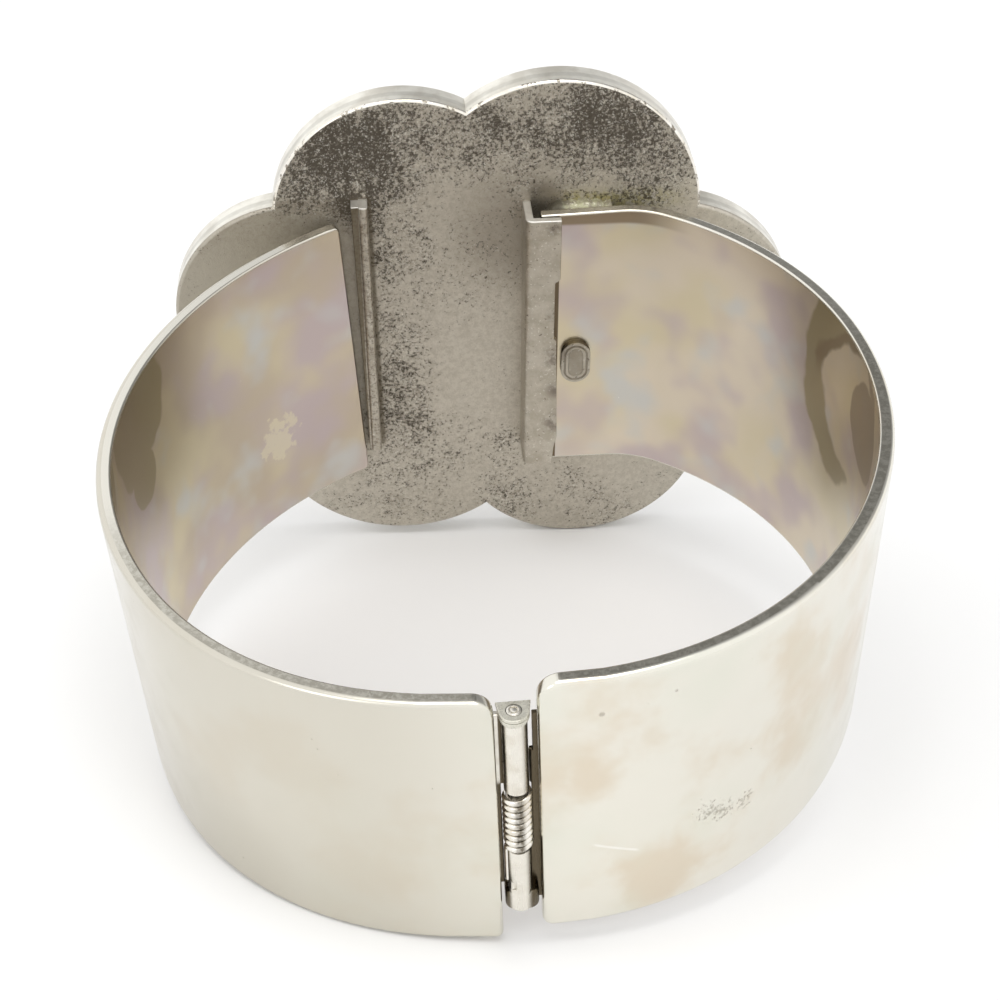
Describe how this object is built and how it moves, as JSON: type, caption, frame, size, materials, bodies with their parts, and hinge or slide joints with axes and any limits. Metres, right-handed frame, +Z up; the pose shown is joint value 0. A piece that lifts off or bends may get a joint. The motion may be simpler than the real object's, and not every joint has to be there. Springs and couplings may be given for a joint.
{
  "type": "hinged metal bangle with an enamel flower",
  "caption": "Wide hinged bangle of polished sheet metal: two curved cuffs on a sprung pin, with a flat scalloped flower plaque that carries enamel petals on its front.",
  "frame": {"origin": "under the middle of the bangle's box, on the surface that it rests on", "axes": "+Z up; the hinge is at -Y and the flower at +Y; as seen from the hinge, the moving cuff is on the left, at -X"},
  "size_m": [0.066, 0.0722, 0.0529],
  "materials": {
    "polished_metal": "polished silver-tone plate with faint warm tarnish",
    "hinge_metal": "plated steel, worn",
    "worn_metal": "dull silver-tone plate with dark specks and a worn bright edge",
    "petal_enamel": "glossy ivory enamel",
    "centre_enamel": "glossy amber enamel"
  },
  "bodies": {
    "fixed_half": {"right_cuff": "polished_metal", "flower_plaque": "worn_metal", "hinge_pin": "hinge_metal", "hinge_spring": "hinge_metal", "petal_top_left": "petal_enamel", "petal_top_right": "petal_enamel", "petal_right": "petal_enamel", "petal_bottom_right": "petal_enamel", "petal_bottom_left": "petal_enamel", "petal_left": "petal_enamel", "flower_centre": "centre_enamel"},
    "left_half": {"left_cuff": "polished_metal"}
  },
  "joints": [
    {"name": "cuff_hinge", "type": "hinge", "parent": "fixed_half", "child": "left_half", "pos_m": [-0.00074, -0.03322, 0.01514], "axis": [-0.0624, -0.1703, 0.9834], "range_deg": [0, 70], "stiffness_Nm_per_rad": 0.017, "springref_deg": -28.65}
  ]
}
